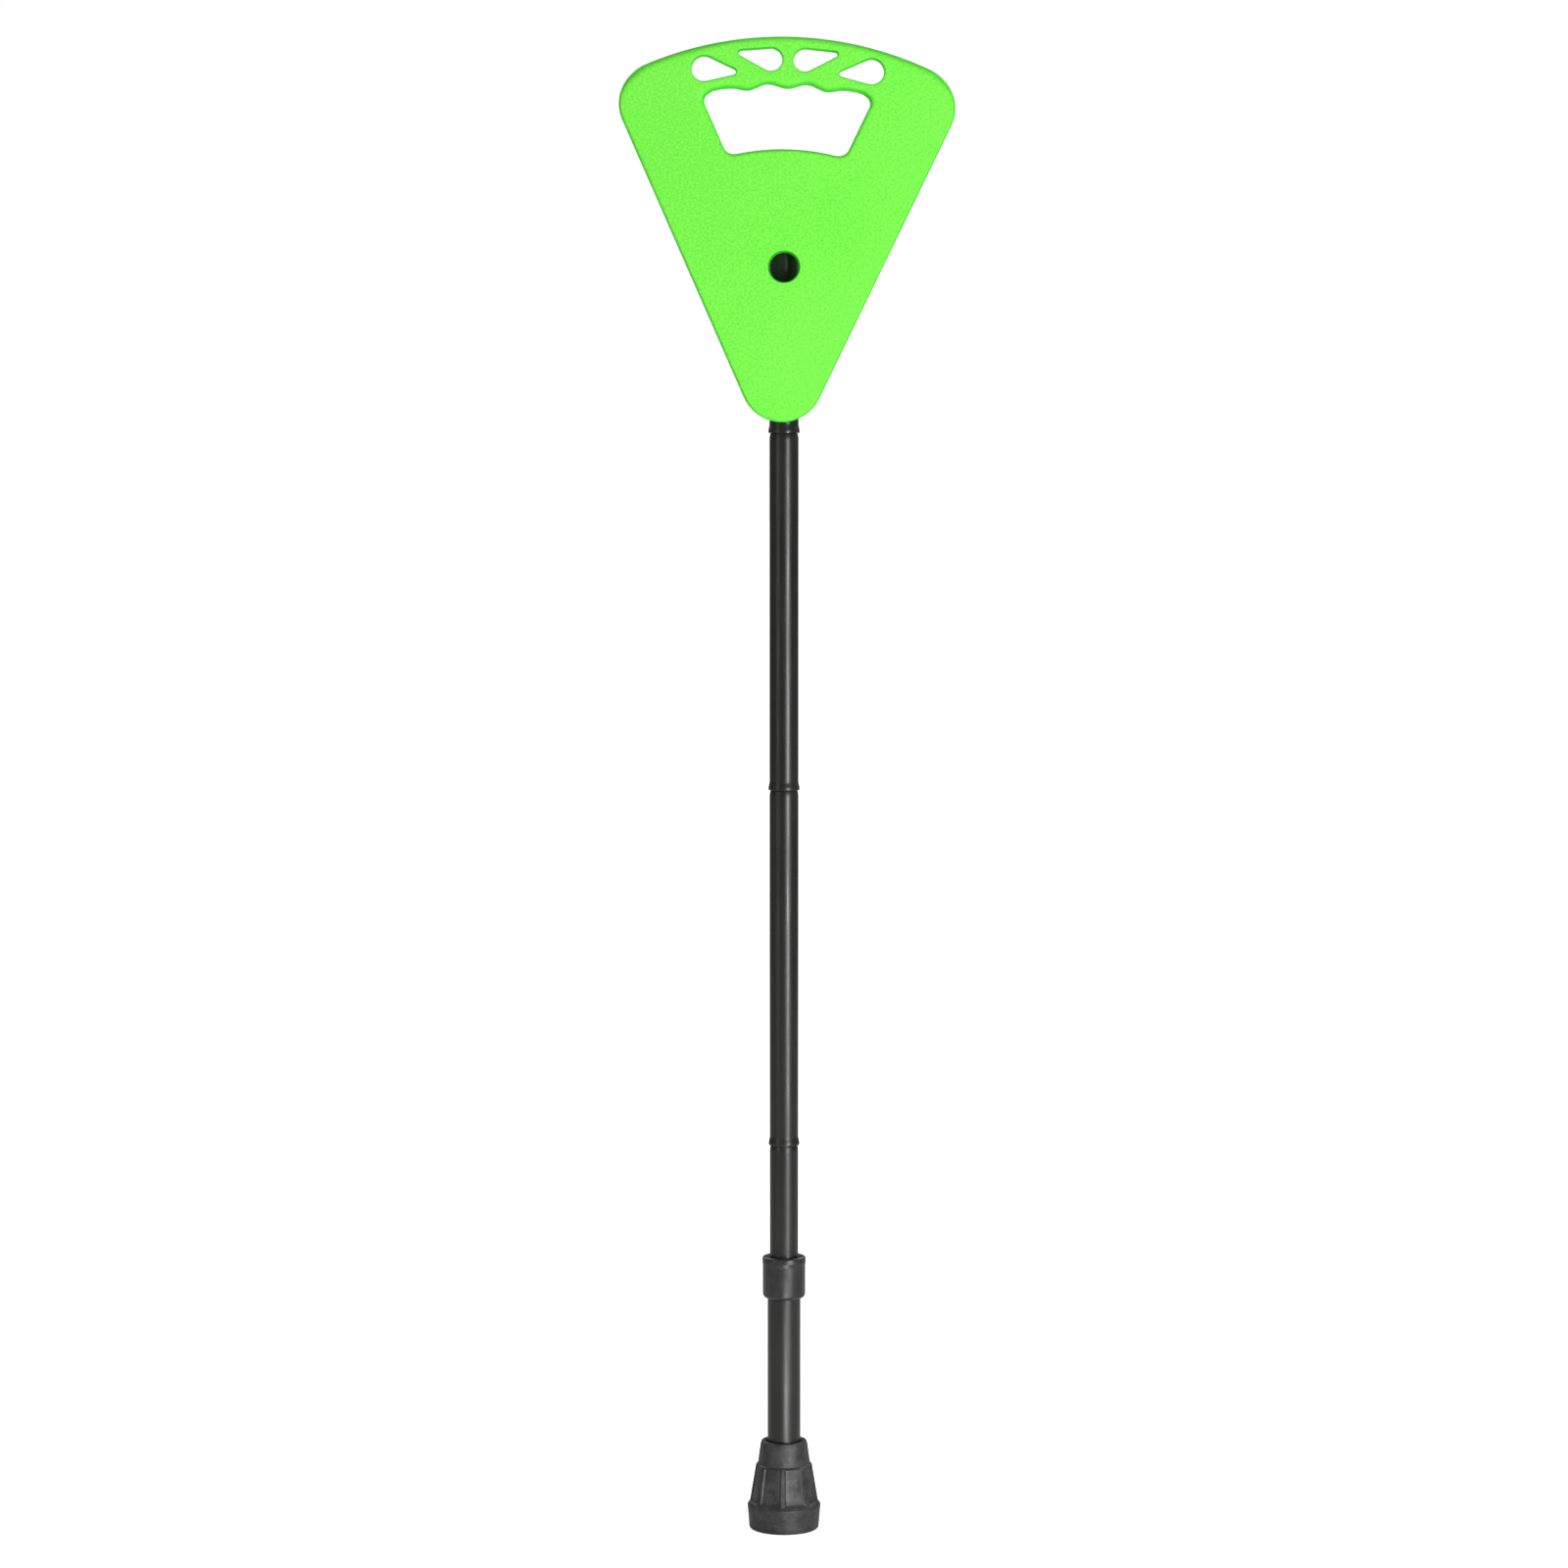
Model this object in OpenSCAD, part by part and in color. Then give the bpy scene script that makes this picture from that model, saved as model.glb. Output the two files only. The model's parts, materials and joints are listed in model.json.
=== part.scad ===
// Folding walking stick with a flip-down perching seat.
// The stick stands on its rubber foot: the origin is the centre of the ground face, +Z is up the
// tube, X runs across the seat and the seat's front face looks towards -Y.

/* [Seat panel] */
// Height of the top of the grip above the ground
seat_top = 911.1; // [850:0.1:1000]
// Height of the seat's narrow lower end above the ground
seat_bottom = 681.4; // [600:0.1:760]
// Width of the seat at its widest
seat_w = 201.4; // [160:0.1:240]
// Radius of the seat's three rounded corners
corner_r = 25; // [15:0.5:35]
// Height of the centres of the two upper corners
corner_z = 870.2; // [820:0.1:900]
// Depth of the moulding from front to back
seat_depth = 12; // [8:0.5:18]
// Thickness of the front skin
skin = 3.2; // [2:0.1:5]
// Size of the bevel round the front edge
edge = 2; // [1:0.1:3]
// Thickness of the rim round the back
rim = 3; // [2:0.1:5]
// Thickness of the stiffening ribs
rib_t = 2.2; // [1.5:0.1:4]
// Spacing of the stiffening ribs
rib_pitch = 22; // [15:1:40]
// Radius of the round hole
hole_r = 9.6; // [6:0.1:12]
// Height of the round hole's centre
hole_z = 774.3; // [740:0.1:800]
// How far the seat leans sideways on its bracket, in degrees
seat_lean = 1.1; // [0:0.1:2]

/* [Hand opening] */
// Height of the middle of the opening's lower edge
grip_low = 844.7; // [835:0.1:855]
// Radius of the arched lower edge
grip_arch_r = 133; // [80:1:200]
// Half width of the opening at its lower corners
grip_low_half = 38.6; // [30:0.1:45]
// Half width of the opening at its upper corners
grip_top_half = 49.9; // [40:0.1:60]
// Height of the upper corners
grip_top = 877.6; // [870:0.1:885]
// Distance of the inner finger crests from the middle
finger_in = 11.5; // [8:0.1:15]
// Distance of the outer finger crests from the middle
finger_out = 33; // [28:0.1:40]
// Height of the inner finger crests
finger_in_z = 883.5; // [880:0.1:888]
// Height of the outer finger crests
finger_out_z = 880.6; // [876:0.1:885]
// Radius of each finger crest
finger_r = 25; // [15:1:40]

/* [Hinge] */
// Height of the hinge axis
hinge_z = 815; // [795:1:825]
// Radius of the hinge bolt
bolt_r = 3; // [2:0.1:4]
// Width of the tongue between the bracket's ears
tongue_w = 14; // [10:0.5:15]
// Thickness of each ear
ear_t = 3; // [2:0.1:4]
// Thickness of each friction washer
washer_t = 1; // [0.5:0.1:1.5]
// Distance from the hinge axis to the bracket's stop faces
stop_gap = 9; // [8.9:0.05:10]

/* [Tubes] */
// Outer radius of the four upper tubes
tube_r = 8.8; // [7:0.1:12]
// Wall thickness of the tubes
tube_wall = 1; // [0.8:0.1:2]
// Outer radius of the belled tube ends
bell_r = 9.5; // [8:0.1:13]
// Length of the belled end
bell_h = 5.6; // [3:0.1:10]
// Heights of the three pull-apart joints, from the top down
joint_zs = [675, 457.8, 239.1];
// Length of each spigot above its joint
spigot_up = 42; // [25:1:60]
// Length of each spigot below its joint
spigot_down = 30; // [15:1:50]
// Radius of the elastic cord
cord_r = 2.5; // [1.5:0.1:4]

/* [Lower leg] */
// Outer radius of the telescoping lower tube
leg_r = 10.2; // [9.9:0.05:13]
// Height of the top of the lower tube
leg_top = 160; // [140:1:170]
// Height of the lowest adjusting hole
adjust_z = 64; // [60:1:80]
// Spacing of the adjusting holes
adjust_pitch = 12; // [10:1:25]
// Number of adjusting holes
adjust_holes = 7; // [3:1:7]
// Outer radius of the locking collar
collar_r = 13.2; // [12:0.1:16]
// Height of the collar's lower edge
collar_low = 144; // [130:1:150]
// Height of the collar's upper edge
collar_top = 170; // [160:1:180]

/* [Rubber foot] */
// Largest radius of the foot
foot_r = 22.65; // [18:0.05:30]
// Height of the foot's base ring
foot_ring_h = 16; // [10:0.5:20]
// Overall height of the foot
foot_h = 55; // [40:1:70]
// Height of the shoulder above the ribs
rib_top = 40; // [30:1:45]
// Number of narrow ribs, with a flute between each two
rib_n = 8; // [6:1:12]
// Angle that each flute takes up, in degrees
flute_angle = 37; // [20:1:40]
// Depth of the flutes
flute_depth = 1.3; // [0.5:0.1:2]
// How far the foot is turned on the tube, in degrees
foot_turn = -2.4; // [-22.5:0.1:22.5]

/* [Hidden] */
$fn = 96;
eps = 0.01;
fit = 0.05;
slide_fit = 0.07;
through = 40;

bore_r = tube_r - tube_wall;
plug_r = bore_r - fit;
joint_gap = 0.2;

seat_back = -10.5;
seat_front = seat_back - seat_depth;
low_centre = seat_bottom + corner_r;
corner_x = seat_w / 2 - corner_r;
side_angle = atan2(corner_x, corner_z - low_centre);
crown = seat_top - corner_z;
top_r = (corner_x * corner_x + crown * crown - corner_r * corner_r) / (2 * (crown - corner_r));
top_centre = seat_top - top_r;
wedge_l = 2 * top_r;
wedge_slope = corner_x / (corner_z - top_centre);
grip_zone = 836;

plate_half = [20, 15];
plate_y = seat_back - ear_t;
screw_at = [16, 9.5];
screw_r = 1.9;
screw_head_r = 3.3;
boss_wall = 2.6;
plate_room = 1.5;
ear_in = tongue_w / 2 + washer_t + 2 * fit;
ear_out = ear_in + ear_t;
ear_r = 11;
pad_z = 702;
pad_r = 6;
pad_gap = 0.35;

head_low = 765;
tube_top = 800;
tongue_low = 803;
tongue_r = 8.6;
rivet_z = 787;
rivet_r = 2;

cord_pin_r = 1.5;
cord_low = 80;
cord_high = 777;
cord_pin_low = 86;
cord_pin_high = 771;
cord_room = 0.6;
anchor = [78, 95];

leg_low = 8;
leg_in = tube_r + slide_fit;
inner_low = 46;
button_r = 2.95;
button_out = leg_r + 0.9;
button_flange_y = 5;
leaf_t = 0.6;
leaf_w = 6;
lip_z = 166.2;

disc_t = 2;
cone_low_z = foot_ring_h + 1.2;
cone_low_r = foot_r - 1.6;
cone_top_r = 17.3;

green = [0.36, 1.0, 0.27];
black = [0.11, 0.11, 0.11];
rubber_black = [0.17, 0.17, 0.18];
steel = [0.75, 0.76, 0.78];

// Stands a flat shape drawn in X and Z on edge, filling from y0 towards the back to y1.
module stand(y0, y1) {
    translate([0, y1, 0])
        rotate([90, 0, 0])
            linear_extrude(height = y1 - y0)
                children();
}

// A round bar along X, centred on x = 0.
module bar_x(r, length) {
    rotate([0, 90, 0])
        cylinder(r = r, h = length, center = true);
}

// A tube standing on Z.
module pipe(r_out, r_in, low, high) {
    difference() {
        translate([0, 0, low])
            cylinder(r = r_out, h = high - low);
        translate([0, 0, low - 1])
            cylinder(r = r_in, h = high - low + 2);
    }
}

// Leans the seat over about its round hole.
module lean() {
    translate([0, 0, hole_z])
        rotate([0, seat_lean, 0])
            translate([0, 0, -hole_z])
                children();
}

// ---- Seat -------------------------------------------------------------------------------------

// The seat's outline: three round corners, two straight sides and one long arc over the top.
module outline(inset) {
    r = corner_r - inset;
    side = [r * cos(side_angle), -r * sin(side_angle)];
    translate([0, low_centre])
        circle(r = r);
    for (s = [-1, 1])
        translate([s * corner_x, corner_z])
            circle(r = r);
    polygon([[side[0], low_centre + side[1]], [corner_x + side[0], corner_z + side[1]],
        [corner_x, corner_z], [-corner_x, corner_z],
        [-corner_x - side[0], corner_z + side[1]], [-side[0], low_centre + side[1]]]);
    intersection() {
        translate([0, top_centre])
            circle(r = top_r - inset, $fn = 360);
        polygon([[0, top_centre], [wedge_l * wedge_slope, top_centre + wedge_l],
            [-wedge_l * wedge_slope, top_centre + wedge_l]]);
    }
}

// One finger crest of the hand opening, trimmed level with the opening's upper corners.
module finger(x, crest_z) {
    intersection() {
        translate([x, crest_z - finger_r])
            circle(r = finger_r);
        translate([x - finger_r, grip_top - 4])
            square([2 * finger_r, finger_r]);
    }
}

// The hand opening: an arched lower edge, splayed sides with cut corners and four finger crests.
module hand_opening() {
    arch_drop = 4;
    low_cut = [2, 3];
    top_cut = [3, 5];
    crown_half = finger_out + 8;
    right = [[grip_low_half - low_cut[0], grip_low - arch_drop],
        [grip_low_half, grip_low + low_cut[1]], [grip_top_half, grip_top - top_cut[1]],
        [grip_top_half - top_cut[0], grip_top - 0.6], [crown_half, grip_top + 1]];
    left = [for (i = [len(right) - 1 : -1 : 0]) [-right[i][0], right[i][1]]];
    difference() {
        polygon(concat(right, left));
        translate([0, grip_low - grip_arch_r])
            circle(r = grip_arch_r, $fn = 360);
    }
    for (s = [-1, 1]) {
        finger(s * finger_in, finger_in_z);
        finger(s * finger_out, finger_out_z);
    }
}

// A drop-shaped opening: a large round end and a small one, joined by straight sides that run a
// hair inside their common tangents, so that no face only grazes another.
module drop(big, big_r, small, small_r) {
    graze = 0.03;
    run = small - big;
    length = norm(run);
    heading = atan2(run[1], run[0]);
    flare = acos((big_r - small_r) / length);
    up = [cos(heading + flare), sin(heading + flare)];
    down = [cos(heading - flare), sin(heading - flare)];
    big_in = big_r - graze;
    small_in = small_r - graze;
    translate(big)
        circle(r = big_r);
    translate(small)
        circle(r = small_r);
    polygon([big, big + big_in * up, small + small_in * up, small,
        small + small_in * down, big + big_in * down]);
}

// The four openings that lighten the grip.
module grip_windows() {
    for (s = [0, 1])
        mirror([s, 0]) {
            drop([10.2, 897.8], 6.9, [27.9, 901.3], 1.7);
            drop([50.7, 891.6], 7.3, [32.7, 889.4], 1.7);
        }
}

// The ribs that stiffen the skin below the grip.
module ribs() {
    for (z = [seat_bottom + 28 : rib_pitch : grip_zone])
        translate([-seat_w / 2, z - rib_t / 2])
            square([seat_w, rib_t]);
    for (x = [-3.5 : 1 : 3.5])
        translate([x * rib_pitch - rib_t / 2, seat_bottom])
            square([rib_t, grip_zone - seat_bottom]);
}

module seat_panel() {
    color(green)
        lean()
            difference() {
                union() {
                    hull() {
                        stand(seat_front, seat_front + 0.2)
                            outline(edge, $fn = 32);
                        stand(seat_front + edge - 0.5, seat_front + edge - 0.3)
                            outline(0.3, $fn = 32);
                    }
                    stand(seat_front + edge - 0.4, seat_front + skin)
                        outline(0);
                    stand(seat_front + skin - eps, seat_back)
                        difference() {
                            outline(0);
                            outline(rim);
                        }
                    stand(seat_front + skin - eps, seat_back)
                        intersection() {
                            outline(rim - eps);
                            translate([-seat_w / 2, grip_zone])
                                square([seat_w, seat_top - grip_zone]);
                        }
                    stand(seat_front + skin - eps, seat_back)
                        intersection() {
                            outline(rim - eps);
                            ribs();
                        }
                    stand(seat_front + skin - eps, seat_back) {
                        translate([0, hole_z])
                            circle(r = hole_r + rim);
                        translate([0, pad_z])
                            circle(r = pad_r + rim);
                    }
                    stand(seat_front + skin - eps, plate_y)
                        for (x = [-1, 1], z = [-1, 1])
                            translate([x * screw_at[0], hinge_z + z * screw_at[1]])
                                circle(r = screw_r + boss_wall);
                }
                stand(seat_front - 1, seat_back + 1) {
                    hand_opening();
                    grip_windows();
                    translate([0, hole_z])
                        circle(r = hole_r);
                }
                stand(plate_y - fit, seat_back + 1)
                    translate([0, hinge_z])
                        square(2 * [plate_half[0] + plate_room, plate_half[1] + plate_room],
                            center = true);
                stand(seat_front + skin, seat_back + 1)
                    translate([0, pad_z])
                        circle(r = pad_r + fit);
                stand(seat_front + skin, seat_back + 1)
                    for (x = [-1, 1], z = [-1, 1])
                        translate([x * screw_at[0], hinge_z + z * screw_at[1]])
                            circle(r = screw_r + fit);
            }
}

// ---- Hinge ------------------------------------------------------------------------------------

// The base plate, two ears and the web that stops the seat when it lies level.
module hinge_bracket() {
    web_y = 8;
    color(black)
        difference() {
            translate([0, 0, hinge_z])
                union() {
                    stand(plate_y, seat_back)
                        square(2 * plate_half, center = true);
                    translate([-ear_out, plate_y, -ear_r])
                        cube([2 * ear_out, -stop_gap - plate_y, 2 * ear_r]);
                    for (s = [-1, 1])
                        translate([s * (ear_in + ear_t / 2), 0, 0]) {
                            bar_x(ear_r, ear_t);
                            translate([-ear_t / 2, plate_y, -ear_r])
                                cube([ear_t, -plate_y, 2 * ear_r]);
                            translate([-ear_t / 2, plate_y, 0])
                                cube([ear_t, web_y - plate_y, stop_gap + ear_t]);
                        }
                    translate([-ear_out, plate_y, stop_gap])
                        cube([2 * ear_out, web_y - plate_y, ear_t]);
                }
            translate([0, 0, hinge_z])
                bar_x(bolt_r + fit, 4 * ear_out);
            for (x = [-1, 1], z = [-1, 1])
                translate([x * screw_at[0], 0, hinge_z + z * screw_at[1]])
                    rotate([90, 0, 0])
                        cylinder(r = screw_r + 1, h = through, center = true);
        }
}

// Four pan-head screws that hold the bracket to the seat.
module bracket_screws() {
    head_h = 2;
    slot = [3.6, 2.4, 0.9];
    tip_gap = 0.5;
    color(steel)
        lean()
            for (x = [-1, 1], z = [-1, 1])
                translate([x * screw_at[0], 0, hinge_z + z * screw_at[1]])
                    difference() {
                        union() {
                            translate([0, seat_back + fit, 0])
                                rotate([-90, 0, 0])
                                    cylinder(r = screw_head_r, h = head_h);
                            translate([0, seat_front + skin + tip_gap, 0])
                                rotate([-90, 0, 0])
                                    cylinder(r = screw_r, h = seat_back - seat_front - skin);
                        }
                        translate([0, seat_back + head_h, 0])
                            for (turn = [0, 90])
                                rotate([0, turn, 0])
                                    cube(slot, center = true);
                    }
}

// The bolt that the seat turns on, with a low round head.
module hinge_bolt() {
    head_r = 5.4;
    head_h = 3;
    key_r = 2.3;
    key_depth = 1.8;
    past_nut = 7;
    color(steel)
        translate([-ear_out - fit, 0, hinge_z])
            rotate([0, 90, 0])
                difference() {
                    union() {
                        cylinder(r = bolt_r, h = 2 * ear_out + past_nut);
                        translate([0, 0, -head_h])
                            cylinder(r1 = head_r - 1.5, r2 = head_r, h = head_h);
                    }
                    translate([0, 0, -head_h - 1])
                        cylinder(r = key_r, h = key_depth + 1, $fn = 6);
                }
}

// The locking nut, with its collar outwards.
module hinge_nut() {
    hex_r = 5.77;
    hex_h = 4.4;
    collar = [4.6, 6];
    color(steel)
        translate([ear_out + fit, 0, hinge_z])
            rotate([0, 90, 0])
                difference() {
                    union() {
                        cylinder(r = hex_r, h = hex_h, $fn = 6);
                        cylinder(r = collar[0], h = collar[1]);
                    }
                    translate([0, 0, -1])
                        cylinder(r = bolt_r + 0.02, h = collar[1] + 2);
                }
}

// One friction washer; side is -1 on the left and 1 on the right.
module friction_washer(side) {
    washer_r = 7.4;
    translate([side * (tongue_w / 2 + fit + washer_t / 2), 0, hinge_z])
        difference() {
            bar_x(washer_r, washer_t);
            bar_x(bolt_r + 0.1, 3 * washer_t);
        }
}

module hinge_washer_left() {
    color(steel)
        friction_washer(-1);
}

module hinge_washer_right() {
    color(steel)
        friction_washer(1);
}

// The rubber pad in the seat's back that rests on the tube.
module rest_pad() {
    color(rubber_black)
        lean()
            translate([0, seat_front + skin + fit, pad_z])
                rotate([-90, 0, 0])
                    cylinder(r = pad_r, h = -tube_r - pad_gap - seat_front - skin);
}

// The head: a plug for the tube, a shoulder and the tongue that the seat turns about.
module hinge_head() {
    color(black)
        difference() {
            union() {
                translate([0, 0, head_low])
                    cylinder(r = plug_r, h = tube_top - head_low + 1);
                translate([0, 0, tube_top])
                    cylinder(r = tube_r, h = tongue_low - tube_top);
                intersection() {
                    translate([0, 0, tongue_low - 1])
                        cylinder(r = tube_r, h = through);
                    translate([0, 0, hinge_z])
                        union() {
                            bar_x(tongue_r, tongue_w);
                            translate([-tongue_w / 2, -tube_r - 1, tongue_low - hinge_z - 1])
                                cube([tongue_w, 2 * tube_r + 2, hinge_z - tongue_low + 1]);
                        }
                }
            }
            translate([0, 0, hinge_z])
                bar_x(bolt_r + fit, through);
            translate([0, 0, rivet_z])
                bar_x(rivet_r + fit, through);
            translate([0, 0, head_low - 1])
                cylinder(r = cord_r + cord_room, h = cord_high - head_low + 3);
            translate([0, 0, cord_pin_high])
                bar_x(cord_pin_r + fit, through);
        }
}

// The rivet through the tube and the head, with a low dome at each end.
module head_rivet() {
    dome_r = 3.4;
    dome_h = 1.1;
    sunk = 0.15;
    color(steel)
        translate([0, 0, rivet_z]) {
            bar_x(rivet_r, 2 * tube_r + 2 * sunk + 0.1);
            for (s = [-1, 1])
                translate([s * (tube_r + sunk), 0, 0])
                    rotate([0, s * 90, 0])
                        cylinder(r1 = dome_r, r2 = dome_r - 1.2, h = dome_h);
        }
}

// A round pin across the tube that ties one end of the cord.
module cord_pin(z) {
    color(steel)
        translate([0, 0, z])
            bar_x(cord_pin_r, 2 * plug_r - 1);
}

module cord_pin_top() {
    cord_pin(cord_pin_high);
}

module cord_pin_bottom() {
    cord_pin(cord_pin_low);
}

// ---- Shaft ------------------------------------------------------------------------------------

// One tube of the shaft. Its lower end is belled over the joint; its upper end is bevelled.
module section(low, high, belled, bevelled) {
    bevel_h = 3.4;
    bevel = 0.6;
    lip_h = 1.2;
    difference() {
        union() {
            translate([0, 0, low])
                cylinder(r = tube_r, h = high - low - (bevelled ? bevel_h : 0));
            if (bevelled)
                translate([0, 0, high - bevel_h])
                    cylinder(r1 = tube_r, r2 = tube_r - bevel, h = bevel_h);
            if (belled) {
                translate([0, 0, low])
                    cylinder(r = bell_r, h = lip_h);
                translate([0, 0, low + lip_h])
                    cylinder(r1 = bell_r, r2 = tube_r - 0.05, h = bell_h - lip_h);
            }
        }
        translate([0, 0, low - 1])
            cylinder(r = bore_r, h = high - low + 2);
    }
}

// The tube that joins two sections: fixed in the lower one, a running fit in the upper one.
module spigot(z) {
    wall = 1.2;
    lead = 2;
    length = spigot_down + spigot_up;
    translate([0, 0, z - spigot_down])
        difference() {
            union() {
                cylinder(r = plug_r, h = length - lead);
                translate([0, 0, length - lead])
                    cylinder(r1 = plug_r, r2 = plug_r - 1, h = lead);
            }
            translate([0, 0, -1])
                cylinder(r = plug_r - wall, h = length + 2);
        }
}

module upper_tube() {
    color(black)
        difference() {
            section(joint_zs[0], tube_top - fit, true, false);
            translate([0, 0, rivet_z])
                bar_x(rivet_r + fit, through);
        }
}

module tube_2() {
    color(black)
        section(joint_zs[1], joint_zs[0] - joint_gap, true, true);
}

module tube_3() {
    color(black)
        section(joint_zs[2], joint_zs[1] - joint_gap, true, true);
}

// The lowest narrow tube, which slides in the leg and carries the snap button.
module tube_4() {
    color(black)
        difference() {
            section(inner_low, joint_zs[2] - joint_gap, false, true);
            translate([0, 0, adjust_z])
                rotate([-90, 0, 0])
                    cylinder(r = button_r + fit, h = through);
        }
}

module spigot_2() {
    color(steel)
        spigot(joint_zs[0]);
}

module spigot_3() {
    color(steel)
        spigot(joint_zs[1]);
}

module spigot_4() {
    color(steel)
        spigot(joint_zs[2]);
}

// One elastic cord runs through the whole shaft and pulls the joints shut.
module elastic_cord() {
    color(rubber_black)
        difference() {
            translate([0, 0, cord_low])
                cylinder(r = cord_r, h = cord_high - cord_low);
            for (z = [cord_pin_low, cord_pin_high])
                translate([0, 0, z])
                    bar_x(cord_pin_r + fit, through);
        }
}

// The plug in the lowest narrow tube that holds the cord's lower end.
module cord_anchor() {
    color(black)
        difference() {
            pipe(plug_r, cord_r + cord_room, anchor[0], anchor[1]);
            translate([0, 0, cord_pin_low])
                bar_x(cord_pin_r + fit, through);
        }
}

// ---- Height adjustment ------------------------------------------------------------------------

// The button that drops into a hole of the leg, with a flange that keeps it in its tube.
module snap_button() {
    crown_h = 0.8;
    flange = [4, 1.2];
    shank = button_out - button_flange_y - crown_h;
    color(steel)
        translate([0, button_flange_y, adjust_z])
            rotate([-90, 0, 0]) {
                cylinder(r = flange[0], h = flange[1]);
                cylinder(r = button_r, h = shank);
                translate([0, 0, shank])
                    cylinder(r1 = button_r, r2 = button_r - crown_h, h = crown_h);
            }
}

// The leaf spring bent into a U that pushes the button out.
module button_spring() {
    outer = 6.1;
    inner = outer - leaf_t;
    leg_h = 13;
    below_button = 9;
    color(steel)
        translate([-leaf_w / 2, button_flange_y - fit - outer, adjust_z - below_button])
            rotate([90, 0, 90])
                linear_extrude(height = leaf_w)
                    difference() {
                        union() {
                            circle(r = outer);
                            translate([-outer, 0])
                                square([2 * outer, leg_h]);
                        }
                        circle(r = inner);
                        translate([-inner, 0])
                            square([2 * inner, leg_h + 1]);
                    }
}

// The wider lower tube, with its row of adjusting holes at the back.
module outer_tube() {
    color(black)
        difference() {
            pipe(leg_r, leg_in, leg_low, leg_top);
            for (i = [0 : adjust_holes - 1])
                translate([0, 0, adjust_z + i * adjust_pitch])
                    rotate([-90, 0, 0])
                        cylinder(r = button_r + 0.15, h = through);
        }
}

// The ring that the collar squeezes onto the inner tube.
module gland_ring() {
    color(rubber_black)
        pipe(leg_r - fit, leg_in, leg_top + fit, lip_z - 0.1);
}

// The locking collar: rounded below, with a lip and an open hollow round the tube above.
module locking_collar() {
    round_low = 2.6;
    round_top = 1;
    brim = 0.25;
    lip_r = 9.6;
    rim_in = collar_r - 1.3;
    hollow = 2.4;
    color(black)
        rotate_extrude()
            difference() {
                union() {
                    translate([0, collar_low + round_low])
                        square([collar_r, collar_top - collar_low - round_low - round_top]);
                    translate([0, collar_low])
                        square([collar_r - round_low, round_low + 1]);
                    translate([collar_r - round_low, collar_low + round_low])
                        circle(r = round_low);
                    translate([0, collar_top - round_top - 1])
                        square([collar_r - round_top + brim, round_top + 1]);
                    translate([collar_r - round_top + brim, collar_top - round_top])
                        circle(r = round_top);
                }
                translate([-1, collar_low - 1])
                    square([leg_r + slide_fit + 1, lip_z - collar_low + 1]);
                translate([-1, collar_low])
                    square([lip_r + 1, collar_top]);
                polygon([[lip_r - eps, collar_top - hollow], [rim_in, collar_top + eps],
                    [rim_in, collar_top + 1], [lip_r - eps, collar_top + 1]]);
                translate([-collar_r, 0])
                    square([collar_r, 2 * collar_top]);
            }
}

// ---- Rubber foot ------------------------------------------------------------------------------

// Half the section of the foot: base ring, ribbed cone, shoulder and neck.
module foot_section() {
    neck_r = 16.2;
    rim_r = 14.6;
    polygon([[0, 0], [foot_r - 2.6, 0], [foot_r - 1.3, 0.5], [foot_r - 0.8, 2],
        [foot_r, foot_ring_h - 1.6], [foot_r - 0.35, foot_ring_h - 0.5],
        [foot_r - 1.4, foot_ring_h + 0.3], [cone_low_r, cone_low_z],
        [cone_top_r, rib_top], [neck_r, rib_top + 1], [rim_r, foot_h - 2.2],
        [rim_r - 0.4, foot_h - 0.7], [rim_r - 1.3, foot_h], [0, foot_h]]);
}

// One flute between two ribs.
module flute() {
    reach = foot_r + 5;
    half_w = reach * tan(flute_angle / 2);
    low_z = cone_low_z + 0.4;
    top_z = rib_top + 0.3;
    intersection() {
        rotate_extrude()
            polygon([[cone_low_r - flute_depth, low_z], [reach, low_z],
                [reach, top_z], [cone_top_r - flute_depth, top_z]]);
        translate([0, 0, foot_ring_h])
            linear_extrude(height = rib_top)
                polygon([[0, 0], [reach, -half_w], [reach, half_w]]);
    }
}

module ferrule() {
    groove_depth = 1.2;
    groove_half = 1;
    color(rubber_black)
        difference() {
            rotate_extrude()
                foot_section();
            for (i = [0 : rib_n - 1])
                rotate([0, 0, foot_turn - 90 + (i + 0.5) * 360 / rib_n])
                    flute();
            translate([0, 0, leg_low - disc_t])
                cylinder(r = leg_r, h = foot_h);
            for (r = [6, 11, 16])
                pipe(r + groove_half, r - groove_half, -groove_depth, groove_depth);
        }
}

// The steel disc that keeps the tube from cutting through the rubber.
module ferrule_disc() {
    color(steel)
        translate([0, 0, leg_low - disc_t + fit])
            cylinder(r = leg_r - fit, h = disc_t - 2 * fit);
}

seat_panel();
hinge_bracket();
bracket_screws();
hinge_bolt();
hinge_nut();
hinge_washer_left();
hinge_washer_right();
rest_pad();
hinge_head();
head_rivet();
upper_tube();
cord_pin_top();
tube_2();
spigot_2();
tube_3();
spigot_3();
tube_4();
spigot_4();
elastic_cord();
cord_anchor();
cord_pin_bottom();
snap_button();
button_spring();
outer_tube();
gland_ring();
locking_collar();
ferrule();
ferrule_disc();
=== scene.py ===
"""Looks of the folding walking stick with a flip-down seat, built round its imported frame.

Lengths inside the mesh code are millimetres in the part's own frame, and mesh_object() turns them
into metres. +Z is up the shaft and the front of the seat looks towards -Y."""

import json
import math

import bmesh
import bpy
import numpy as np
from mathutils import Matrix, Vector
from mathutils.geometry import delaunay_2d_cdt


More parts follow.
